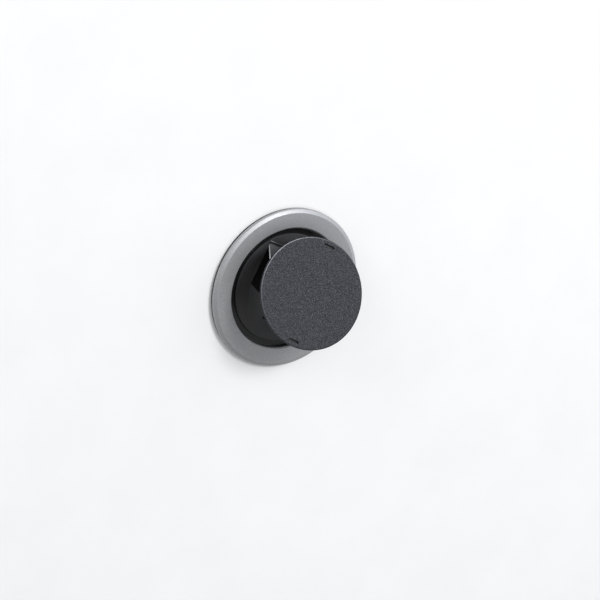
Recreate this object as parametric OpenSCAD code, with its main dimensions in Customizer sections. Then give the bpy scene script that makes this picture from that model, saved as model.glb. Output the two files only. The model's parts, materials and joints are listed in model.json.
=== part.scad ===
// Magnetic phone grip: a flat ring-shaped puck with a round finger disc on a fold-out arm.
// The phone lies against the face at z = 0. +Y points to the top of the phone, +Z away from its back.
// All pieces are drawn with the arm open and the disc tilted, as a hand holds them.

/* [Puck] */
// Outer diameter of the metal ring
ring_d = 56.2; // [55:0.1:60]
// Width of the metal ring, from its outer edge to its opening
ring_w = 6.65; // [6.5:0.05:7]
// Height of the puck from the phone to the top of the ring
puck_h = 2.75; // [2.65:0.05:3.4]
// Width of the sloping outer edge of the ring, seen from above
bevel_w = 1.2; // [0.6:0.1:1.6]
// Height of the sloping outer edge of the ring
bevel_h = 0.65; // [0.3:0.05:0.8]
// Rounding of the two outer edges of the ring
edge_round = 0.25; // [0.1:0.05:0.4]
// Chamfer at the opening of the ring
lip = 0.4; // [0.2:0.05:0.5]
// Thickness of the ring's top wall
ring_wall = 0.5; // [0.4:0.05:0.6]
// Thickness of the soft contact pad
pad_t = 0.25; // [0.2:0.05:0.3]
// Thickness of the chassis floor
floor_t = 0.25; // [0.2:0.05:0.3]
// Height of the chassis rim that shows as a thin strip under the ring
rim_h = 0.7; // [0.5:0.05:0.8]

/* [Recess] */
// Width of the ledge between the ring and the deck that the arm folds into
ledge_w = 2.25; // [1.9:0.05:2.3]
// Height of the deck's top face above the phone
deck_top = 1.4; // [1.35:0.05:1.6]
// Depth of the ledge round the deck, below the deck's top face
ledge_drop = 0.5; // [0.3:0.05:0.6]

/* [Magnets] */
// Width of the ring of magnets
magnet_w = 3.6; // [3:0.1:4]
// Gap between neighbouring magnets
magnet_gap = 0.3; // [0.2:0.05:0.6]
// Thickness of the steel ring over the magnets
shunt_t = 0.25; // [0.2:0.05:0.3]
// Plastic left beside the two small magnets that hold the folded disc down
catch_wall = 0.6; // [0.5:0.05:1]

/* [Arm] */
// Width of the deck on each side of the arm's channel
side_land = 5.65; // [5:0.05:6.4]
// Thickness of the arm's plate
arm_t = 0.8; // [0.6:0.05:0.8]
// Deck left outside the corners of the arm's channel
corner_wall = 0.543; // [0.45:0.001:0.7]
// Height of the arm's hinge above the phone
hinge_z = 0.95; // [0.95:0.01:1]
// Angle of the open arm above the puck
arm_angle = 44; // [42:1:46]
// Travel of the cross pin along the fork as the arm folds
pin_travel = 3.65; // [3.4:0.05:3.9]
// Diameter of the hinge pin and of the cross pin
pin_d = 0.6; // [0.5:0.05:0.6]
// Clearance round the pins
pin_clear = 0.03; // [0.02:0.01:0.05]
// Gap between the arm and the walls of its channel
arm_gap = 0.15; // [0.1:0.05:0.2]

/* [Disc] */
// Gap between the folded disc and the opening of the ring
disc_gap = 2.35; // [2:0.05:2.8]
// Thickness of the finger disc
disc_t = 0.75; // [0.6:0.05:0.8]
// Distance of the tilting block from the middle of the disc
block_y = 8.15; // [8.1:0.05:8.3]
// Forward tilt of the disc, towards the top of the phone
disc_pitch = 17.4; // [16:0.2:18]
// Sideways tilt of the disc
disc_roll = 12; // [10:0.5:13]
// Turn of the disc on its swivel
disc_turn = -6.5; // [-180:0.5:180]
// Length of each slot near the edge of the disc
slot_l = 4; // [3:0.1:5]
// Width of each slot near the edge of the disc
slot_w = 0.8; // [0.6:0.05:1]
// Distance of each slot from the edge of the disc
slot_in = 1.9; // [1.6:0.1:2.6]
// Diameter of the swivel that joins the disc to its carrier
swivel_d = 4; // [3:0.1:5]

/* [Hidden] */
$fn = 96;
eps = 0.01;
magnet_count = 12;
part_gap = 0.05;

ring_r = ring_d / 2;
opening_r = ring_r - ring_w;
deck_r = opening_r - ledge_w;
disc_r = opening_r - disc_gap;
pin_r = pin_d / 2;
bore_r = pin_r + pin_clear;

// Levels of the puck, from the phone upwards
floor_z = pad_t;
floor_top = floor_z + floor_t;
rim_top = floor_z + rim_h;
ring_under = puck_h - ring_wall;
shunt_z = ring_under - shunt_t;
ledge_top = deck_top - ledge_drop;

// Walls of the ring and of the recess
side_wall = 0.9;
inner_wall = 0.6;
ring_inset = 0.15;
rim_in = ring_r - ring_inset - side_wall;
liner_wall = 0.35;
liner_r = opening_r - part_gap;
liner_drop = 0.1;
liner_top = puck_h - lip - liner_drop;
ledge_round = 0.2;
deck_edge = 0.12;
pad_inset = 0.8;
pad_edge = pad_t / 2;

// Magnets midway between the walls of the ring
magnet_mid = (opening_r + inner_wall + rim_in) / 2;
magnet_in = magnet_mid - magnet_w / 2;
shunt_over = 0.2;

// Channel in the deck that the arm and its hinge sit in
barrel_r = 2 * pin_r;
channel_w = 2 * (deck_r - side_land);
arm_w = channel_w - 2 * arm_gap;
hinge_gap = 1.5 * arm_gap;
hinge_back = barrel_r + hinge_gap;
hinge_y = sqrt(pow(deck_r - corner_wall, 2) - pow(channel_w / 2, 2)) - hinge_back;
journal = 0.75;

// Tilting block, its stubs and the bearings they turn in
block_w = 2.1;
block_l = 3;
block_gap = 0.2;
eye_wall = 0.22;
eye_r = bore_r + eye_wall;
lug_gap = 0.1;
lug_t = 0.9;
lug_w = 1.8;
lug_near = block_l / 2 + lug_gap;
lug_far = lug_near + lug_t;

// Fork at the free end of the arm: the cross pin slides in its slotted tines as the arm folds
pin_folded = hinge_y + block_y;
pin_open = pin_folded + pin_travel;
notch_w = block_w + 2 * block_gap;
tine_w = 1;
tine_root = 0.5;
fork_w = notch_w + 2 * tine_w;
arm_tip = pin_open + eye_r;
tip_y = hinge_y - arm_tip - 2 * arm_gap;
notch_start = pin_folded - lug_far - 2 * block_gap;
tine_start = pin_folded - bore_r - tine_root;
clip_t = 0.3;
clip_r = 0.5;
pin_half = fork_w / 2 + part_gap + clip_t;
fork_clear = pin_half + 2 * arm_gap;
taper_l = 4.6;
taper_end = pin_folded - clip_r - 2 * arm_gap;

// Heights above the cross pin in the disc's own frame
carrier_z = 0.7;
carrier_t = 0.5;
washer_t = 0.1;
disc_z = carrier_z + carrier_t + washer_t;
head_t = 0.22;
head_w = 1.2;
head_r = swivel_d / 2 + head_w;
washer_w = 3;
washer_r = swivel_d / 2 + washer_w;
disc_edge = 0.15;

// Carrier under the disc, with its window for the fork and the tongue that holds the lower bearing
carrier_inset = 1.1;
carrier_r = disc_r - carrier_inset;
window_front = pin_travel + eye_r + 2 * arm_gap;
tongue_w = lug_w + 2 * part_gap;

// Small magnets under the skin of the deck, and the steel discs over them
catch_x = (channel_w / 2 + carrier_r) / 2;
catch_r = (carrier_r - channel_w / 2) / 2 - catch_wall;
catch_skin = 0.2;

// Points along an arc of a profile
function arc(x, y, r, start, end, steps = 4) = [
    for (i = [0 : steps])
        let (angle = start + (end - start) * i / steps)
            [x + r * cos(angle), y + r * sin(angle)]
];

// Flat ring between two radii
module tube(r_in, r_out, z0, z1) {
    translate([0, 0, z0])
        difference() {
            cylinder(r = r_out, h = z1 - z0);
            translate([0, 0, -eps])
                cylinder(r = r_in, h = z1 - z0 + 2 * eps);
        }
}

// Outline of the arm seen from above, grown by a gap on its sides and its free end
module arm_outline(grow) {
    side = arm_w / 2 + grow;
    fork = fork_w / 2 + grow;
    half = [
        [side, 0],
        [side, taper_l - taper_end - grow],
        [fork, -taper_end - grow],
        [fork, -arm_tip - 2 * grow]
    ];
    polygon(concat(half, [for (i = [len(half) - 1 : -1 : 0]) [-half[i][0], half[i][1]]]));
}

module rod_x(r, half) {
    translate([-half, 0, 0])
        rotate([0, 90, 0])
            cylinder(r = r, h = 2 * half);
}

module rod_y(r, y0, y1) {
    translate([0, y0, 0])
        rotate([-90, 0, 0])
            cylinder(r = r, h = y1 - y0);
}

module bar(x0, x1, y0, y1, z0, z1) {
    translate([x0, y0, z0])
        cube([x1 - x0, y1 - y0, z1 - z0]);
}

// Frames of the moving pieces, each inside the one before it
module at_hinge() {
    translate([0, hinge_y, hinge_z])
        rotate([-arm_angle, 0, 0])
            children();
}

module at_cross_pin() {
    at_hinge()
        translate([0, -pin_open, 0])
            children();
}

module at_block() {
    at_cross_pin()
        rotate([arm_angle - disc_pitch, 0, 0])
            children();
}

module at_carrier() {
    at_block()
        rotate([0, -disc_roll, 0])
            translate([0, block_y, 0])
                children();
}

module at_disc() {
    at_carrier()
        rotate([0, 0, disc_turn])
            children();
}

module contact_pad() {
    pad_r = ring_r - pad_inset;
    color("dimgray")
        rotate_extrude()
            polygon([[0, 0], [pad_r - pad_edge, 0], [pad_r, pad_edge], [pad_r, pad_t], [0, pad_t]]);
}

// Space that the fork, the pin and the block dip into when the arm is folded
module fork_window(z0, z1) {
    bar(-fork_clear, fork_clear, tip_y, hinge_y - notch_start, z0, z1);
}

module chassis() {
    color("black")
        difference() {
            union() {
                translate([0, 0, floor_z])
                    cylinder(r = ring_r - ring_inset, h = floor_t);
                tube(rim_in, ring_r - ring_inset, floor_z, rim_top);
            }
            fork_window(floor_z - eps, floor_top + eps);
            translate([0, hinge_y, hinge_z])
                rod_x(barrel_r + arm_gap, channel_w / 2);
        }
}

module deck_plate() {
    color([0.16, 0.16, 0.17])
        difference() {
            rotate_extrude()
                polygon([
                    [0, floor_top],
                    [deck_r, floor_top],
                    [deck_r, deck_top - deck_edge],
                    [deck_r - deck_edge, deck_top],
                    [0, deck_top]
                ]);
            translate([0, hinge_y, 0])
                linear_extrude(puck_h)
                    arm_outline(arm_gap);
            bar(-channel_w / 2, channel_w / 2, hinge_y - eps, hinge_y + hinge_back, 0, puck_h);
            fork_window(0, puck_h);
            translate([0, hinge_y, hinge_z])
                rod_x(pin_r, channel_w / 2 + journal);
            for (side = [-1, 1])
                translate([side * catch_x, 0, 0])
                    cylinder(r = catch_r, h = deck_top - catch_skin);
        }
}

// Wall of the recess, curved into the ledge round the deck
module recess_liner() {
    wall_r = liner_r - liner_wall;
    profile = concat(
        [[deck_r + part_gap, floor_top], [liner_r, floor_top], [liner_r, liner_top], [wall_r, liner_top]],
        arc(wall_r - ledge_round, ledge_top + ledge_round, ledge_round, 0, -90),
        [[deck_r + part_gap, ledge_top]]);
    color([0.05, 0.05, 0.05])
        rotate_extrude()
            polygon(profile);
}

// Metal ring with a sloping outer edge, rounded where it meets the flat face and the side
module top_ring() {
    slope = atan2(bevel_h, bevel_w);
    face_mid = ring_r - bevel_w - edge_round * tan(slope / 2);
    side_mid = puck_h - bevel_h - edge_round * tan(45 - slope / 2);
    opening = [[opening_r, floor_top], [opening_r, puck_h - lip], [opening_r + lip, puck_h]];
    face_edge = arc(face_mid, puck_h - edge_round, edge_round, 90, 90 - slope);
    side_edge = arc(ring_r - edge_round, side_mid, edge_round, 90 - slope, 0);
    underside = [
        [ring_r, rim_top],
        [rim_in, rim_top],
        [rim_in, ring_under],
        [opening_r + inner_wall, ring_under],
        [opening_r + inner_wall, floor_top]
    ];
    color("silver")
        rotate_extrude()
            polygon(concat(opening, face_edge, side_edge, underside));
}

module shunt_ring() {
    color("gray")
        tube(magnet_in - shunt_over, magnet_in + magnet_w + shunt_over, shunt_z, ring_under);
}

module magnet(i) {
    step = 360 / magnet_count;
    gap_angle = magnet_gap / magnet_in * 180 / PI;
    color("lightgray")
        rotate([0, 0, i * step + gap_angle / 2])
            rotate_extrude(angle = step - gap_angle)
                translate([magnet_in, floor_top])
                    square([magnet_w, shunt_z - floor_top]);
}

module catch_magnets() {
    color("lightgray")
        for (side = [-1, 1])
            translate([side * catch_x, 0, floor_top])
                cylinder(r = catch_r, h = deck_top - catch_skin - floor_top);
}

module hinge_pin() {
    color("silver")
        translate([0, hinge_y, hinge_z])
            rod_x(pin_r, channel_w / 2 + journal);
}

// Plate that swings on the hinge pin, with a fork of two slotted tines at its free end
module arm_plate() {
    tine_in = notch_w / 2;
    tine_mid = tine_in + tine_w / 2;
    color([0.2, 0.21, 0.22])
        at_hinge()
            difference() {
                union() {
                    translate([0, 0, -arm_t / 2])
                        linear_extrude(arm_t)
                            intersection() {
                                arm_outline(0);
                                translate([-arm_w / 2, -pin_open])
                                    square([arm_w, pin_open]);
                            }
                    rod_x(barrel_r, arm_w / 2);
                    for (side = [-1, 1])
                        translate([side * tine_mid, 0, 0]) {
                            bar(-tine_w / 2, tine_w / 2, -pin_open, -tine_start, -eye_r, eye_r);
                            translate([0, -pin_open, 0])
                                rod_x(eye_r, tine_w / 2);
                        }
                }
                rod_x(bore_r, arm_w);
                bar(-tine_in, tine_in, -arm_tip - eps, -notch_start, -2 * eye_r, 2 * eye_r);
                bar(-fork_w, fork_w, -pin_open, -pin_folded, -bore_r, bore_r);
                for (u = [pin_open, pin_folded])
                    translate([0, -u, 0])
                        rod_x(bore_r, fork_w);
            }
}

module cross_pin() {
    color("silver")
        at_cross_pin()
            rod_x(pin_r, pin_half);
}

module pin_clips() {
    color("silver")
        at_cross_pin()
            for (side = [-1, 1])
                translate([side * (pin_half - clip_t / 2), 0, 0])
                    difference() {
                        rod_x(clip_r, clip_t / 2);
                        rod_x(pin_r, clip_t);
                    }
}

// Block that tilts on the cross pin and carries the disc on two stubs
module pivot_block() {
    color("dimgray")
        at_block()
            difference() {
                union() {
                    bar(-block_w / 2, block_w / 2, -block_l / 2, block_l / 2, -eye_r, eye_r);
                    rod_y(pin_r, -lug_far, lug_far);
                }
                rod_x(bore_r, block_w);
            }
}

// Plate under the disc, open over the fork
module carrier_plate() {
    slot_half = (fork_clear - tongue_w / 2) / 2;
    color([0.1, 0.1, 0.1])
        at_carrier()
            difference() {
                translate([0, 0, carrier_z])
                    cylinder(r = carrier_r, h = carrier_t);
                translate([0, 0, carrier_z - eps])
                    cylinder(r = head_r + part_gap, h = head_t + part_gap + eps);
                translate([0, 0, carrier_z])
                    cylinder(r = swivel_d / 2 + part_gap, h = puck_h);
                translate([0, -block_y, 0]) {
                    bar(-fork_clear, fork_clear, -lug_near, lug_near, 0, puck_h);
                    for (side = [-1, 1])
                        translate([side * (tongue_w / 2 + slot_half), 0, 0])
                            bar(-slot_half, slot_half, -window_front, 0, 0, puck_h);
                }
                for (side = [-1, 1])
                    translate([side * catch_x, 0, carrier_z - eps])
                        cylinder(r = catch_r, h = carrier_t / 2 + eps);
            }
}

// Bearings under the carrier that the stubs of the block turn in
module carrier_lugs() {
    color([0.1, 0.1, 0.1])
        at_carrier()
            translate([0, -block_y, 0])
                difference() {
                    for (y0 = [-lug_far, lug_near])
                        bar(-lug_w / 2, lug_w / 2, y0, y0 + lug_t, -eye_r, carrier_z);
                    rod_y(bore_r, -lug_far - eps, lug_far + eps);
                }
}

module catch_plates() {
    color("gray")
        at_carrier()
            for (side = [-1, 1])
                translate([side * catch_x, 0, carrier_z])
                    cylinder(r = catch_r, h = carrier_t / 2);
}

module swivel_rivet() {
    color("silver")
        at_disc() {
            translate([0, 0, carrier_z])
                cylinder(r = head_r, h = head_t);
            translate([0, 0, carrier_z])
                cylinder(r = swivel_d / 2, h = disc_z - carrier_z);
        }
}

module slip_washer() {
    color("white")
        at_disc()
            tube(swivel_d / 2, washer_r, disc_z - washer_t, disc_z);
}

module disc_plate() {
    color([0.27, 0.28, 0.3])
        at_disc()
            difference() {
                rotate_extrude()
                    polygon([
                        [0, disc_z],
                        [disc_r - disc_edge, disc_z],
                        [disc_r, disc_z + disc_edge],
                        [disc_r, disc_z + disc_t - disc_edge],
                        [disc_r - disc_edge, disc_z + disc_t],
                        [0, disc_z + disc_t]
                    ]);
                for (side = [-1, 1])
                    translate([0, side * (disc_r - slot_in), disc_z - eps])
                        linear_extrude(disc_t + 2 * eps)
                            union() {
                                square([slot_l - slot_w, slot_w], center = true);
                                for (end = [-1, 1])
                                    translate([end * (slot_l - slot_w) / 2, 0])
                                        circle(d = slot_w);
                            }
            }
}

contact_pad();
chassis();
deck_plate();
recess_liner();
top_ring();
shunt_ring();
for (i = [1 : magnet_count])
    magnet(i);
catch_magnets();
hinge_pin();
arm_plate();
cross_pin();
pin_clips();
pivot_block();
carrier_plate();
carrier_lugs();
catch_plates();
swivel_rivet();
slip_washer();
disc_plate();
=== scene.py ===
"""Looks of the phone grip.

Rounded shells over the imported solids, their finishes, the light, the floor and the camera.
"""

import json
import math

import bmesh
import bpy
from mathutils import Matrix, Vector


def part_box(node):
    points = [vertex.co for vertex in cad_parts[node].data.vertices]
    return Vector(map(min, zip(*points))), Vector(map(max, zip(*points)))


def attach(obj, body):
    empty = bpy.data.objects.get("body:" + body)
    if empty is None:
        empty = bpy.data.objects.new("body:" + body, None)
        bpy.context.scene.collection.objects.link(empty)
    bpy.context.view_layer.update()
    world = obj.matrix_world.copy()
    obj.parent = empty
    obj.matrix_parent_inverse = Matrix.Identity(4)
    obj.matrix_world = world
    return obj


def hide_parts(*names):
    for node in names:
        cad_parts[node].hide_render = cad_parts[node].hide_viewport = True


MM = 0.001
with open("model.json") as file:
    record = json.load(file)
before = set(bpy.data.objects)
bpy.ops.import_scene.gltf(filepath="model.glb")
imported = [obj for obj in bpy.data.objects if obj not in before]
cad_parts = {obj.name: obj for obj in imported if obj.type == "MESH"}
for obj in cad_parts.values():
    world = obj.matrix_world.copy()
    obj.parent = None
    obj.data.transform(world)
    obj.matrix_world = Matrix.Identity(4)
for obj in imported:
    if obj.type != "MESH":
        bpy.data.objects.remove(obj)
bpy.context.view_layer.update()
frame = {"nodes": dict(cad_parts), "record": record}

# Sizes read from the frame
RING_LOW, RING_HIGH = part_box("top_ring")
RING_R = RING_HIGH.x
RING_TOP = RING_HIGH.z
LINER_LOW, LINER_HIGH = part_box("recess_liner")
LINER_R = LINER_HIGH.x
_, DECK_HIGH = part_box("deck_plate")
DECK_R = DECK_HIGH.x
_, RIM_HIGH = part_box("chassis")

# Pivots read from the frame
JOINTS = {joint["name"]: joint for joint in frame["record"]["behaviour"]["joints"]}
HINGE = Vector(JOINTS["arm_fold"]["pos_m"])
SWIVEL = Vector(JOINTS["disc_swivel"]["pos_m"])

# Ring: sizes that its box doesn't give
RING_W = 6.65 * MM
BEVEL_W = 1.2 * MM
BEVEL_H = 0.65 * MM
LIP = 0.4 * MM
RING_WALL = 1.05 * MM
RING_ROOF = 0.5 * MM
RING_INNER_WALL = 0.6 * MM
RING_ROUND = 0.25 * MM

# Recess: its wall, and the ledge round the deck
LINER_WALL = 0.35 * MM
LINER_GAP = 0.05 * MM
LEDGE_DROP = 0.5 * MM
LEDGE_ROUND = 0.2 * MM

# Turned shells: rounding of their other corners, and how finely they are cut
EDGE_ROUND = 0.06 * MM
CORNER_STEPS = 4
TURN_STEPS = 240

# Disc: how it leans in degrees, its rounded rim and its slots
DISC_LEAN = (-17.4, -12.0, -6.5)
DISC_R = 19.1 * MM
DISC_T = 0.75 * MM
DISC_Z = 1.3 * MM
DISC_SHARP = 35.0
EDGE_W = 0.42 * MM
EDGE_H = 0.2 * MM
EDGE_LOW = 0.12 * MM
EDGE_STEPS = 8
SLOT_R = 17.2 * MM
SLOT_L = 4.0 * MM
SLOT_W = 0.8 * MM
SLOT_EASE = 0.05 * MM
SLOT_STEPS = 12

# Arm: its slope when open, its barrel at the hinge, and a half width that its fork stays within
ARM_ANGLE = math.radians(44.0)
BARREL_R = 0.6 * MM
# How far from the hinge the painted shade on the barrel reaches
BARREL_SHADE_REACH = 1.02 * BARREL_R
FORK_WITHIN = 4.0 * MM

# Cut sides of the arm: how far their normals point sideways and along its face, and the
# height and blur of the bare line on them, whose near-white colour is partly a painted
# highlight
SIDE_FACING = 0.3
SIDE_LEVEL = 0.05
BARE_HIGHLIGHT_TOP = 0.08 * MM
BARE_HIGHLIGHT_BLUR = 0.08 * MM

# Channel: its hinge end, its width, and the painted highlight on its edge and the painted
# highlight line along its hinge end
CHANNEL_END = 0.825 * MM
CHANNEL_W = 27.1 * MM
EDGE_HIGHLIGHT_REACH = 0.15 * MM
EDGE_HIGHLIGHT_FACING = 0.3
HIGHLIGHT_LINE_SHIFT = 0.08 * MM
HIGHLIGHT_LINE_W = 0.2 * MM
HIGHLIGHT_LINE_FROM = CHANNEL_W / 2 - 2.2 * MM
HIGHLIGHT_LINE_FULL = CHANNEL_W / 2 - 0.5 * MM

# Eased copies of solids: how near points merge, and the bends in degrees that are flat, eased
# and shaded sharp
MERGE = 0.002 * MM
FLAT_BELOW = 0.5
SHARP_ABOVE = 25.0
SHADE_SHARP = 30.0

# Width of the easing along a solid's sharp edges
ARM_EASE = 0.06 * MM
DECK_EASE = 0.1 * MM
CHASSIS_EASE = 0.04 * MM
PAD_EASE = 0.06 * MM
BLOCK_EASE = 0.04 * MM
CARRIER_EASE = 0.05 * MM

# Colours of the metal parts: dark and light of the grain, then what lies over it
RING_DARK = (0.36, 0.365, 0.38)
RING_LIGHT = (0.47, 0.475, 0.49)
RING_CLOUD = (0.42, 0.425, 0.435)
# Partly wear, partly painted highlight: the lighter patches where the ring's slope begins
RING_WEAR_AND_HIGHLIGHT = (0.60, 0.605, 0.62)
ARM_DARK = (0.066, 0.067, 0.072)
ARM_LIGHT = (0.098, 0.100, 0.106)
ARM_COAT = (0.085, 0.087, 0.092)
# Partly painted highlight: the near-white bare sides of the arm
BARE_HIGHLIGHT_DARK = (0.90, 0.905, 0.91)
BARE_HIGHLIGHT_LIGHT = (0.97, 0.97, 0.97)
# Partly painted highlight: the near-white cut edges of the pivot block
CUT_EDGE_HIGHLIGHT = (0.93, 0.94, 0.95)
BLOCK_DARK = (0.035, 0.037, 0.041)
BLOCK_LIGHT = (0.05, 0.053, 0.058)
# Painted shade: the black back half of the arm's barrel, in place of the shaded gap at the
# hinge
HINGE_SHADE_DARK = (0.004, 0.004, 0.0045)
HINGE_SHADE_LIGHT = (0.008, 0.008, 0.009)
PIN_STEEL = (0.55, 0.55, 0.56)
PLATED_STEEL = (0.45, 0.45, 0.46)
NICKEL = (0.55, 0.55, 0.53)

# Colours of the disc
DISC_DARK = (0.0, 0.0005, 0.001)
DISC_LIGHT = (0.087, 0.092, 0.111)
DISC_FLECK = (0.15, 0.16, 0.175)
DISC_CLOUD = (0.034, 0.039, 0.045)
DISC_RIM = (0.052, 0.055, 0.06)

# Colours of the plastic parts and the pad
DECK_DARK = (0.017, 0.017, 0.0185)
DECK_LIGHT = (0.030, 0.030, 0.032)
DECK_CLOUD = (0.028, 0.028, 0.030)
# Painted highlight: the light line along the hinge end of the channel
DECK_HIGHLIGHT_LINE = (0.58, 0.58, 0.59)
# Painted highlight: the lighter colour of the channel's edge at its hinge end
DECK_EDGE_HIGHLIGHT_DARK = (0.12, 0.12, 0.125)
DECK_EDGE_HIGHLIGHT_LIGHT = (0.18, 0.18, 0.185)
LINER_DARK = (0.006, 0.006, 0.0065)
LINER_LIGHT = (0.010, 0.010, 0.011)
# Black plastic, darkened further as painted shade in the channel
CHASSIS_SHADE_DARK = (0.002, 0.002, 0.0022)
CHASSIS_SHADE_LIGHT = (0.004, 0.004, 0.0044)
CARRIER_DARK = (0.005, 0.005, 0.0055)
CARRIER_LIGHT = (0.009, 0.009, 0.01)
WASHER_DARK = (0.62, 0.62, 0.6)
WASHER_LIGHT = (0.72, 0.72, 0.7)
PAD_DARK = (0.03, 0.03, 0.032)
PAD_LIGHT = (0.045, 0.045, 0.047)
PAD_DUST = (0.08, 0.08, 0.08)

# Floor and studio
FLOOR_HALF = 3.0
FLOOR_DARK = (0.86, 0.86, 0.865)
FLOOR_LIGHT = (0.88, 0.88, 0.885)
WORLD_COLOUR = (0.98, 0.99, 1.0, 1.0)
WORLD_BRIGHT = 0.42

# Camera: where it stands and how it leans, in the frame
CAMERA_AT = Vector((-763.036, 123.892, 1000.447)) * MM
CAMERA_RIGHT = Vector((0.740775, 0.427779, 0.517935))
CAMERA_UP = Vector((-0.285446, 0.898401, -0.33376))
CAMERA_LENS = 224.16
CAMERA_SENSOR = 36.0
CAMERA_NEAR = 0.05
CAMERA_FAR = 20.0

# Lamps: name, direction from the grip, width, brightness as seen from the grip, and colour
LAMP_DISTANCE = 1.6
WHITE = (1.0, 1.0, 1.0)
COOL = (0.88, 0.95, 1.0)
LAMPS = (
    ("key_lamp", (-0.10, 0.42, 0.90), 1.25, 1.15, WHITE),
    ("spot_lamp", (0.05, 0.56, 0.82), 0.45, 19.5, WHITE),
    ("top_lamp", (0.56, 0.64, 0.52), 0.85, 1.3, COOL),
    ("side_lamp", (0.95, 0.25, 0.20), 0.9, 1.0, COOL),
    ("left_lamp", (-0.90, 0.20, 0.40), 0.8, 2.2, WHITE),
)


def add_object(name, data):
    """A new object with this data, in the scene."""
    made = bpy.data.objects.new(name, data)
    bpy.context.scene.collection.objects.link(made)
    return made


def add_piece(name, bm, sharp=None):
    """A piece from bm, smooth apart from edges of more than sharp degrees."""
    mesh = bpy.data.meshes.new(name)
    bm.to_mesh(mesh)
    bm.free()
    for polygon in mesh.polygons:
        polygon.use_smooth = True
    if sharp:
        mesh.set_sharp_from_angle(angle=math.radians(sharp))
    return add_object(name, mesh)


def corner(points, index, radius):
    """Points of an arc that rounds one corner of a closed outline."""
    here = Vector(points[index])
    before = Vector(points[index - 1])
    after = Vector(points[(index + 1) % len(points)])
    back = (before - here).normalized()
    ahead = (after - here).normalized()
    half = back.angle(ahead) / 2
    reach = radius / math.tan(half)
    centre = here + (back + ahead).normalized() * radius / math.sin(half)
    start = here + back * reach - centre
    end = here + ahead * reach - centre
    made = []
    for step in range(CORNER_STEPS + 1):
        share = step / CORNER_STEPS
        made.append(centre + start.lerp(end, share).normalized() * radius)
    return made


def rounded(points, radius, wider):
    """A closed outline with every corner rounded; wider gives some corners their own radius."""
    made = []
    for index in range(len(points)):
        made.extend(corner(points, index, wider.get(index, radius)))
    return made


def turned(name, outline):
    """A shell made by turning a closed outline of (radius, height) points round Z."""
    bm = bmesh.new()
    rows = []
    for step in range(TURN_STEPS):
        angle = 2 * math.pi * step / TURN_STEPS
        across = Vector((math.cos(angle), math.sin(angle)))
        rows.append([bm.verts.new((across.x * p[0], across.y * p[0], p[1])) for p in outline])
    count = len(outline)
    for step in range(TURN_STEPS):
        row = rows[step]
        ahead = rows[(step + 1) % TURN_STEPS]
        for k in range(count):
            m = (k + 1) % count
            bm.faces.new((row[k], ahead[k], ahead[m], row[m]))
    bmesh.ops.recalc_face_normals(bm, faces=bm.faces)
    return add_piece(name, bm)


def sharp_edges(bm):
    """Edges between two faces that meet at more than the sharp angle."""
    limit = math.radians(SHARP_ABOVE)
    inner = [edge for edge in bm.edges if len(edge.link_faces) == 2]
    return [edge for edge in inner if edge.calc_face_angle(0) > limit]


def eased(node, name, width, segments=2, edge=0):
    """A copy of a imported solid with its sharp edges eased; edge is their material index."""
    bm = bmesh.new()
    bm.from_mesh(frame["nodes"][node].data)
    bmesh.ops.remove_doubles(bm, verts=bm.verts, dist=MERGE)
    bmesh.ops.dissolve_limit(
        bm,
        angle_limit=math.radians(FLAT_BELOW),
        verts=bm.verts,
        edges=bm.edges,
    )
    for face in bm.faces:
        face.material_index = 0
    made = bmesh.ops.bevel(
        bm,
        geom=sharp_edges(bm),
        offset=width,
        offset_type="OFFSET",
        segments=segments,
        profile=0.5,
        affect="EDGES",
        clamp_overlap=True,
    )
    for face in made["faces"]:
        face.material_index = edge
    return add_piece(name, bm, SHADE_SHARP)


def paint(piece, index, wanted):
    """Give a material index to the faces that wanted picks by their centre and normal."""
    for polygon in piece.data.polygons:
        if wanted(polygon.center, polygon.normal):
            polygon.material_index = index
    return piece


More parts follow.
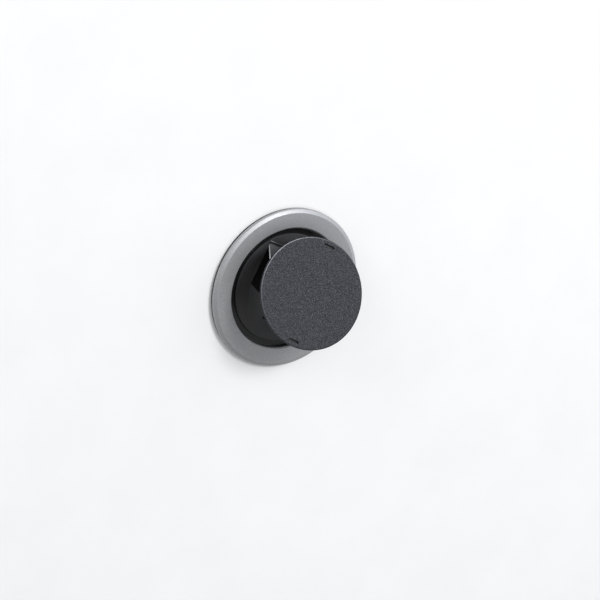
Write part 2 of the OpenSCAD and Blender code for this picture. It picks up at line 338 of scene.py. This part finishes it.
class Finish:
    """A material whose colour, roughness and bump come from nodes."""

    def __init__(self, name):
        self.material = bpy.data.materials.new(name)
        self.material.use_nodes = True
        self.nodes = self.material.node_tree.nodes
        self.links = self.material.node_tree.links
        self.shader = self.nodes["Principled BSDF"]
        self.place = self.nodes.new("ShaderNodeTexCoord").outputs["Object"]

    def set(self, **values):
        """Constant values, set on the shader's own sockets."""
        for name, value in values.items():
            self.shader.inputs[name.replace("_", " ")].default_value = value
        return self

    def noise(self, size, detail=4.0, roughness=0.55, stretch=None):
        """Noise whose blotches are about size metres across."""
        noise = self.nodes.new("ShaderNodeTexNoise")
        noise.inputs["Scale"].default_value = 1.0 / size
        noise.inputs["Detail"].default_value = detail
        noise.inputs["Roughness"].default_value = roughness
        place = self.place
        if stretch:
            mapping = self.nodes.new("ShaderNodeMapping")
            mapping.inputs["Scale"].default_value = stretch
            self.links.new(place, mapping.inputs["Vector"])
            place = mapping.outputs["Vector"]
        self.links.new(place, noise.inputs["Vector"])
        return noise.outputs["Fac"]

    def level(self, source, low, high, start=0.35, end=0.65):
        """Numbers from low to high, as source goes from start to end."""
        spread = self.nodes.new("ShaderNodeMapRange")
        spread.inputs["From Min"].default_value = start
        spread.inputs["From Max"].default_value = end
        spread.inputs["To Min"].default_value = low
        spread.inputs["To Max"].default_value = high
        self.links.new(source, spread.inputs["Value"])
        return spread.outputs["Result"]

    def tint(self, source, low, high, start=0.35, end=0.65):
        """Colours from low to high, as source goes from start to end."""
        ramp = self.nodes.new("ShaderNodeValToRGB")
        ramp.color_ramp.elements[0].position = start
        ramp.color_ramp.elements[0].color = (*low, 1.0)
        ramp.color_ramp.elements[1].position = end
        ramp.color_ramp.elements[1].color = (*high, 1.0)
        self.links.new(source, ramp.inputs["Fac"])
        return ramp.outputs["Color"]

    def mix(self, share, first, second):
        """First and second mixed by share; either may be a colour or a socket."""
        mix = self.nodes.new("ShaderNodeMix")
        mix.data_type = "RGBA"
        self.links.new(share, mix.inputs["Factor"])
        for socket, value in ((mix.inputs[6], first), (mix.inputs[7], second)):
            if isinstance(value, tuple):
                socket.default_value = (*value, 1.0)
            else:
                self.links.new(value, socket)
        return mix.outputs[2]

    def maths(self, how, first, second=None, clamp=False):
        """One step of arithmetic; either value may be a number or a socket."""
        node = self.nodes.new("ShaderNodeMath")
        node.operation = how
        node.use_clamp = clamp
        for socket, value in zip(node.inputs, (first, second)):
            if value is None:
                continue
            if isinstance(value, (int, float)):
                socket.default_value = value
            else:
                self.links.new(value, socket)
        return node.outputs["Value"]

    def axes(self):
        """X, Y and Z of the object's own coordinates."""
        split = self.nodes.new("ShaderNodeSeparateXYZ")
        self.links.new(self.place, split.inputs["Vector"])
        return split.outputs["X"], split.outputs["Y"], split.outputs["Z"]

    def radius(self):
        """Distance from the Z axis."""
        x, y, _ = self.axes()
        x2 = self.maths("MULTIPLY", x, x)
        y2 = self.maths("MULTIPLY", y, y)
        return self.maths("SQRT", self.maths("ADD", x2, y2))

    def band(self, source, middle, width):
        """1 at middle, falling to 0 at width on either side."""
        apart = self.maths("ABSOLUTE", self.maths("SUBTRACT", source, middle))
        return self.level(apart, 1.0, 0.0, start=0.0, end=width)

    def colour(self, socket):
        self.links.new(socket, self.shader.inputs["Base Color"])
        return self

    def rough(self, socket):
        self.links.new(socket, self.shader.inputs["Roughness"])
        return self

    def bump(self, *layers):
        """Bumps stacked on each other: (height socket, depth in metres, strength)."""
        normal = None
        for height, depth, strength in layers:
            bump = self.nodes.new("ShaderNodeBump")
            bump.inputs["Distance"].default_value = depth
            bump.inputs["Strength"].default_value = strength
            self.links.new(height, bump.inputs["Height"])
            if normal:
                self.links.new(normal, bump.inputs["Normal"])
            normal = bump.outputs["Normal"]
        self.links.new(normal, self.shader.inputs["Normal"])
        return self


def blasted_metal():
    """Bead-blasted, clear anodised metal of the ring, lighter in patches where its slope
    begins: partly wear, partly a painted highlight.
    """
    f = Finish("ring_metal").set(Metallic=0.85)
    grain = f.noise(0.32 * MM, detail=3.0, roughness=0.6)
    cloud = f.noise(7.0 * MM, detail=3.0)
    tone = f.tint(grain, RING_DARK, RING_LIGHT)
    tone = f.mix(f.level(cloud, 0.0, 0.35), tone, RING_CLOUD)
    edge = f.band(f.radius(), RING_R - BEVEL_W, 0.10 * MM)
    patches = f.level(f.noise(1.6 * MM), 0.1, 0.6)
    wear_and_highlight = f.maths("MULTIPLY", edge, patches, clamp=True)
    f.colour(f.mix(wear_and_highlight, tone, RING_WEAR_AND_HIGHLIGHT))
    f.rough(f.level(f.noise(1.1 * MM), 0.525, 0.55))
    f.bump((cloud, 0.02 * MM, 0.02), (grain, 0.012 * MM, 0.3))
    return f.material


def bare_edge(name, tone, roughness, metallic=1.0):
    """Cut or turned edge of a dark part, lighter than its coat."""
    f = Finish(name).set(Metallic=metallic)
    grain = f.noise(0.3 * MM, roughness=0.6)
    low = tuple(c * 0.86 for c in tone)
    f.colour(f.tint(grain, low, tone))
    f.rough(f.level(grain, roughness - 0.05, roughness + 0.06))
    f.bump((grain, 0.01 * MM, 0.2))
    return f.material


def arm_edge_highlight():
    """Cut sides of the arm, bare in their lower part and coated above; the bare part is
    near-white, partly a painted highlight.
    """
    f = Finish("arm_edge_highlight")
    grain = f.noise(0.3 * MM, roughness=0.6)
    _, y, z = f.axes()
    along = f.maths("MULTIPLY", y, math.sin(ARM_ANGLE))
    upward = f.maths("MULTIPLY", z, math.cos(ARM_ANGLE))
    middle = HINGE.y * math.sin(ARM_ANGLE) + HINGE.z * math.cos(ARM_ANGLE)
    height = f.maths("SUBTRACT", f.maths("ADD", along, upward), middle)
    coated = f.level(height, 0.0, 1.0, start=BARE_HIGHLIGHT_TOP, end=BARE_HIGHLIGHT_TOP + BARE_HIGHLIGHT_BLUR)
    bare_and_highlight = f.tint(grain, BARE_HIGHLIGHT_DARK, BARE_HIGHLIGHT_LIGHT)
    f.colour(f.mix(coated, bare_and_highlight, ARM_COAT))
    f.rough(f.level(grain, 0.4, 0.5))
    f.bump((grain, 0.01 * MM, 0.2))
    return f.material


def speckled_coat():
    """Fine speckled dark coat of the disc."""
    f = Finish("disc_coat").set(Specular_IOR_Level=0.25)
    speck = f.noise(0.32 * MM, detail=5.0, roughness=0.8)
    cloud = f.noise(11.0 * MM, detail=3.0)
    tone = f.tint(speck, DISC_DARK, DISC_LIGHT, start=0.45, end=0.595)
    fleck = f.level(f.noise(0.35 * MM, detail=1.0), 0.0, 0.8, start=0.66, end=0.74)
    tone = f.mix(fleck, tone, DISC_FLECK)
    f.colour(f.mix(f.level(cloud, 0.0, 0.2), tone, DISC_CLOUD))
    f.rough(f.level(speck, 0.6, 0.75))
    f.bump((speck, 0.03 * MM, 0.4))
    return f.material


def dark_anodised(name, low, high, roughness=0.42):
    """Dark anodised plate with a fine grain."""
    f = Finish(name).set(Metallic=0.35)
    grain = f.noise(0.2 * MM, detail=3.0, roughness=0.6)
    cloud = f.noise(4.0 * MM, detail=3.0)
    tone = f.tint(grain, low, high)
    f.colour(f.mix(f.level(cloud, 0.0, 0.3), tone, high))
    f.rough(f.level(cloud, roughness - 0.05, roughness + 0.07))
    f.bump((grain, 0.012 * MM, 0.3))
    return f.material


def moulded(name, low, high, roughness, specular=0.5, grain=(0.25 * MM, 0.02 * MM, 0.35)):
    """Moulded plastic with faint flow marks; grain is its size, depth and strength."""
    size, depth, strength = grain
    f = Finish(name).set(Specular_IOR_Level=specular)
    fine = f.noise(size, detail=3.0, roughness=0.6)
    cloud = f.noise(6.0 * MM)
    tone = f.tint(fine, low, high)
    f.colour(f.mix(f.level(cloud, 0.0, 0.45), tone, high))
    f.rough(f.level(cloud, roughness - 0.05, roughness + 0.08))
    f.bump((cloud, 0.03 * MM, 0.06), (fine, depth, strength))
    return f.material


def painted_highlight_line(f):
    """Share of a painted highlight line along the hinge end of the channel, strongest at its
    two corners.
    """
    x, y, _ = f.axes()
    sideways = f.maths("ABSOLUTE", x)
    line = f.band(y, HINGE.y + CHANNEL_END + HIGHLIGHT_LINE_SHIFT, HIGHLIGHT_LINE_W)
    inside = f.maths("LESS_THAN", sideways, CHANNEL_W / 2)
    highlight = f.maths("MULTIPLY", line, inside)
    patches = f.level(f.noise(0.8 * MM, detail=3.0), 0.7, 1.0)
    highlight = f.maths("MULTIPLY", highlight, patches)
    corners = f.level(sideways, 0.3, 1.0, start=HIGHLIGHT_LINE_FROM, end=HIGHLIGHT_LINE_FULL)
    return f.maths("MULTIPLY", highlight, corners)


def deck_plastic():
    """Fine charcoal plastic, with a painted highlight line along the hinge end of the channel.
    """
    f = Finish("deck_plastic")
    grain = f.noise(0.25 * MM, detail=3.0, roughness=0.6)
    cloud = f.noise(6.0 * MM)
    tone = f.tint(grain, DECK_DARK, DECK_LIGHT)
    tone = f.mix(f.level(cloud, 0.0, 0.45), tone, DECK_CLOUD)
    f.colour(f.mix(painted_highlight_line(f), tone, DECK_HIGHLIGHT_LINE))
    f.rough(f.level(cloud, 0.37, 0.5))
    f.bump((cloud, 0.03 * MM, 0.06), (grain, 0.02 * MM, 0.35))
    return f.material


def soft_pad():
    """Matt silicone with a fine skin and a little dust."""
    f = Finish("pad_silicone").set(Specular_IOR_Level=0.3)
    fine = f.noise(0.35 * MM, detail=3.0, roughness=0.6)
    dust = f.noise(2.2 * MM, detail=5.0, roughness=0.65)
    tone = f.tint(fine, PAD_DARK, PAD_LIGHT)
    f.colour(f.mix(f.level(dust, 0.0, 0.25, start=0.5, end=0.8), tone, PAD_DUST))
    f.rough(f.level(dust, 0.62, 0.78))
    f.bump((fine, 0.02 * MM, 0.35))
    return f.material


def drawn_steel(name, tone, roughness, stretch):
    """Drawn or turned steel with fine lines along one direction."""
    f = Finish(name).set(Metallic=1.0)
    lines = f.noise(0.25 * MM, roughness=0.6, stretch=stretch)
    dull = f.noise(1.5 * MM, detail=3.0)
    low = tuple(c * 0.8 for c in tone)
    f.colour(f.tint(lines, low, tone))
    f.rough(f.level(dull, roughness - 0.06, roughness + 0.08))
    f.bump((lines, 0.008 * MM, 0.25))
    return f.material


def floor_paper():
    """Matt pale paper."""
    f = Finish("floor_paper").set(Specular_IOR_Level=0.2)
    f.colour(f.tint(f.noise(30 * MM), FLOOR_DARK, FLOOR_LIGHT))
    f.rough(f.level(f.noise(4 * MM), 0.7, 0.8))
    f.bump((f.noise(1.0 * MM), 0.02 * MM, 0.1))
    return f.material


def stand_in(piece, node, body, slot, *materials):
    """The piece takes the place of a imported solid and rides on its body."""
    for material in materials:
        piece.data.materials.append(material)
    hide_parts(node)
    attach(piece, body)


def refinish(nodes, material):
    """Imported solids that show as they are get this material."""
    for node in nodes:
        for slot in frame["nodes"][node].material_slots:
            slot.material = material


def ring_outline():
    """Section of the ring: chamfered opening, flat top, sloping outer edge, hollow below."""
    inner = RING_R - RING_W
    under = RING_LOW.z
    rim_top = RIM_HIGH.z
    points = [
        (inner, under),
        (inner, RING_TOP - LIP),
        (inner + LIP, RING_TOP),
        (RING_R - BEVEL_W, RING_TOP),
        (RING_R, RING_TOP - BEVEL_H),
        (RING_R, rim_top),
        (RING_R - RING_WALL, rim_top),
        (RING_R - RING_WALL, RING_TOP - RING_ROOF),
        (inner + RING_INNER_WALL, RING_TOP - RING_ROOF),
        (inner + RING_INNER_WALL, under),
    ]
    slope_top = 3
    slope_foot = 4
    return rounded(points, EDGE_ROUND, {slope_top: RING_ROUND, slope_foot: RING_ROUND})


def liner_outline():
    """Section of the recess: its wall, and the ledge round the deck."""
    inner = DECK_R + LINER_GAP
    ledge = DECK_HIGH.z - LEDGE_DROP
    points = [
        (inner, LINER_LOW.z),
        (LINER_R, LINER_LOW.z),
        (LINER_R, LINER_HIGH.z),
        (LINER_R - LINER_WALL, LINER_HIGH.z),
        (LINER_R - LINER_WALL, ledge),
        (inner, ledge),
    ]
    wall_foot = 4
    return rounded(points, EDGE_ROUND, {wall_foot: LEDGE_ROUND})


def deck_shell():
    """Deck whose edge at the hinge end of the channel carries a painted highlight."""
    piece = eased("deck_plate", "deck_skin", DECK_EASE)
    end = HINGE.y + CHANNEL_END

    def on_highlight_edge(centre, normal):
        near = abs(centre.y - end) < EDGE_HIGHLIGHT_REACH
        return near and normal.y < -EDGE_HIGHLIGHT_FACING and normal.z > EDGE_HIGHLIGHT_FACING

    return paint(piece, 1, on_highlight_edge)


def arm_shell():
    """Arm with its cut sides bare and partly painted as a highlight, and the back half of its
    barrel painted black as shade.
    """
    piece = eased("arm_plate", "arm_shell", ARM_EASE)
    face = Vector((0, math.sin(ARM_ANGLE), math.cos(ARM_ANGLE)))

    def on_highlight_side(centre, normal):
        outward = normal.x * centre.x > 0 and abs(normal.x) > SIDE_FACING
        return outward and abs(normal.dot(face)) < SIDE_LEVEL and abs(centre.x) > FORK_WITHIN

    # Painted shade: the back half of the barrel is painted black
    def on_shaded_barrel(centre, normal):
        return centre.y > HINGE.y and (centre - HINGE).yz.length < BARREL_SHADE_REACH

    paint(piece, 1, on_highlight_side)
    return paint(piece, 2, on_shaded_barrel)


def disc_row(bm, radius, z):
    """Closed row of points round the disc."""
    turns = [2 * math.pi * k / TURN_STEPS for k in range(TURN_STEPS)]
    return [bm.verts.new((radius * math.cos(t), radius * math.sin(t), z)) for t in turns]


def slot_row(bm, side, grow, z):
    """Closed row of points round one slot of the disc."""
    made = []
    radius = SLOT_W / 2 + grow
    reach = (SLOT_L - SLOT_W) / 2
    for end, first in ((1, -90), (-1, 90)):
        for step in range(SLOT_STEPS + 1):
            angle = math.radians(first + 180 * step / SLOT_STEPS)
            x = end * reach + radius * math.cos(angle)
            y = side * SLOT_R + radius * math.sin(angle)
            made.append(bm.verts.new((x, y, z)))
    return made


def row_edges(bm, row):
    """Edges along a closed row of points."""
    return [bm.edges.get((row[k], row[k - 1])) for k in range(len(row))]


def skin(bm, rows, index):
    """Faces between neighbouring closed rows of points."""
    for row, ahead in zip(rows, rows[1:]):
        for k in range(len(row)):
            m = (k + 1) % len(row)
            face = bm.faces.new((row[k], row[m], ahead[m], ahead[k]))
            face.material_index = index


def disc_lean():
    """Place and lean of the disc when the grip is open."""
    tilt, roll, turn = (math.radians(angle) for angle in DISC_LEAN)
    lean = Matrix.Rotation(tilt, 4, "X") @ Matrix.Rotation(roll, 4, "Y")
    return Matrix.Translation(SWIVEL) @ (lean @ Matrix.Rotation(turn, 4, "Z"))


def disc_shell():
    """Disc with a rounded upper rim and two slots through it."""
    bm = bmesh.new()
    top = DISC_Z + DISC_T
    side_profile = [(DISC_R - EDGE_LOW, DISC_Z), (DISC_R, DISC_Z + EDGE_LOW)]
    rim_profile = []
    for step in range(EDGE_STEPS + 1):
        angle = math.radians(90 * step / EDGE_STEPS)
        radius = DISC_R - EDGE_W * (1 - math.cos(angle))
        rim_profile.append((radius, top - EDGE_H * (1 - math.sin(angle))))
    rows = [disc_row(bm, radius, z) for radius, z in side_profile + rim_profile]
    rim_start = len(side_profile)
    skin(bm, rows[:rim_start + 1], 0)
    skin(bm, rows[rim_start:], 1)
    lower = row_edges(bm, rows[0])
    upper = row_edges(bm, rows[-1])
    for side in (-1, 1):
        levels = ((0, DISC_Z), (0, top - SLOT_EASE), (SLOT_EASE, top))
        loops = [slot_row(bm, side, grow, z) for grow, z in levels]
        skin(bm, loops, 0)
        lower += row_edges(bm, loops[0])
        upper += row_edges(bm, loops[-1])
    for edges in (lower, upper):
        bmesh.ops.triangle_fill(bm, use_beauty=True, edges=edges)
    bmesh.ops.recalc_face_normals(bm, faces=bm.faces)
    bmesh.ops.transform(bm, matrix=disc_lean(), verts=bm.verts)
    return add_piece("disc_shell", bm, DISC_SHARP)


def puck_shells():
    """Ring, recess, deck, rim and pad."""
    # Painted highlight on the channel's edge at its hinge end
    channel_edge_highlight = moulded("deck_edge", DECK_EDGE_HIGHLIGHT_DARK, DECK_EDGE_HIGHLIGHT_LIGHT, 0.35)
    fine_grain = (0.5 * MM, 0.01 * MM, 0.15)
    gloss = moulded("liner_plastic", LINER_DARK, LINER_LIGHT, 0.18, grain=fine_grain)
    # Near-black case: black plastic darkened further as painted shade in the channel
    case = moulded("chassis_painted_shade", CHASSIS_SHADE_DARK, CHASSIS_SHADE_LIGHT, 0.6, specular=0.12)
    ring = turned("ring_shell", ring_outline())
    stand_in(ring, "top_ring", "puck", "ring", blasted_metal())
    liner = turned("recess_wall", liner_outline())
    stand_in(liner, "recess_liner", "puck", "liner", gloss)
    stand_in(deck_shell(), "deck_plate", "puck", "deck", deck_plastic(), channel_edge_highlight)
    chassis = eased("chassis", "chassis_shell", CHASSIS_EASE)
    stand_in(chassis, "chassis", "puck", "chassis", case)
    pad = eased("contact_pad", "pad_skin", PAD_EASE, segments=3)
    stand_in(pad, "contact_pad", "puck", "pad", soft_pad())


def moving_shells():
    """Arm, disc, pivot block and carrier with its bearings."""
    arm = dark_anodised("arm_anodised", ARM_DARK, ARM_LIGHT)
    # Painted shade for the back half of the arm's barrel
    barrel_shade = dark_anodised("hinge_painted_shade", HINGE_SHADE_DARK, HINGE_SHADE_LIGHT, 0.5)
    stand_in(arm_shell(), "arm_plate", "arm", "arm", arm, arm_edge_highlight(), barrel_shade)
    rim_light = bare_edge("disc_rim", DISC_RIM, 0.26)
    stand_in(disc_shell(), "disc_plate", "disc", "disc", speckled_coat(), rim_light)
    coat = dark_anodised("block_anodised", BLOCK_DARK, BLOCK_LIGHT)
    # Bare edges of the block, near-white: partly a painted highlight
    block_edge_highlight = bare_edge("cut_edge_highlight", CUT_EDGE_HIGHLIGHT, 0.45, metallic=0.15)
    block = eased("pivot_block", "block_shell", BLOCK_EASE, edge=1)
    stand_in(block, "pivot_block", "block", "block", coat, block_edge_highlight)
    plastic = moulded("carrier_plastic", CARRIER_DARK, CARRIER_LIGHT, 0.5)
    carrier = eased("carrier_plate", "carrier_shell", CARRIER_EASE)
    stand_in(carrier, "carrier_plate", "carrier", "carrier", plastic)
    lugs = eased("carrier_lugs", "lug_shells", CARRIER_EASE)
    stand_in(lugs, "carrier_lugs", "carrier", "carrier", plastic)


def refinish_solids():
    """Pins, steel parts, magnets and washer, which show as their solids."""
    pin = drawn_steel("pin_steel", PIN_STEEL, 0.25, (0.1, 1.0, 1.0))
    plate = drawn_steel("plated_steel", PLATED_STEEL, 0.35, (1.0, 1.0, 1.0))
    nickel = drawn_steel("nickel_plate", NICKEL, 0.22, (1.0, 1.0, 0.2))
    acetal = moulded("washer_acetal", WASHER_DARK, WASHER_LIGHT, 0.4)
    magnets = [node for node in frame["nodes"] if node.startswith("magnet_")]
    refinish(("hinge_pin", "cross_pin", "pin_clips", "swivel_rivet"), pin)
    refinish(("shunt_ring", "catch_plates"), plate)
    refinish(("catch_magnets", *magnets), nickel)
    refinish(("slip_washer",), acetal)


def pale_floor():
    """A wide sheet of pale paper under the grip."""
    half = FLOOR_HALF
    corners = [(-half, -half, 0), (half, -half, 0), (half, half, 0), (-half, half, 0)]
    mesh = bpy.data.meshes.new("floor")
    mesh.from_pydata(corners, [], [(0, 1, 2, 3)])
    floor = add_object("floor", mesh)
    floor.data.materials.append(floor_paper())


def add_lamp(name, towards, width, bright, colour):
    """A square lamp that looks bright times white from the grip."""
    data = bpy.data.lights.new(name, "AREA")
    data.shape = "SQUARE"
    data.size = width
    data.color = colour
    data.energy = bright * math.pi * width * width
    direction = Vector(towards).normalized()
    lamp = add_object(name, data)
    lamp.location = direction * LAMP_DISTANCE
    lamp.rotation_mode = "QUATERNION"
    lamp.rotation_quaternion = direction.to_track_quat("Z", "Y")
    lamp.visible_camera = False


def light_studio():
    """An even pale world and the lamps."""
    world = bpy.data.worlds.new("studio")
    bpy.context.scene.world = world
    world.use_nodes = True
    back = world.node_tree.nodes["Background"]
    back.inputs["Color"].default_value = WORLD_COLOUR
    back.inputs["Strength"].default_value = WORLD_BRIGHT
    for lamp in LAMPS:
        add_lamp(*lamp)


def place_camera():
    """The photograph's viewing angle and distance."""
    data = bpy.data.cameras.new("camera")
    data.sensor_width = CAMERA_SENSOR
    data.lens = CAMERA_LENS
    data.clip_start = CAMERA_NEAR
    data.clip_end = CAMERA_FAR
    camera = add_object("camera", data)
    right = CAMERA_RIGHT.normalized()
    back = right.cross(CAMERA_UP).normalized()
    up = back.cross(right)
    turn = Matrix((right, up, back)).transposed()
    camera.matrix_world = Matrix.Translation(CAMERA_AT) @ turn.to_4x4()
    bpy.context.scene.camera = camera


bpy.context.scene.view_settings.view_transform = "Standard"
place_camera()
light_studio()
pale_floor()
puck_shells()
moving_shells()
refinish_solids()
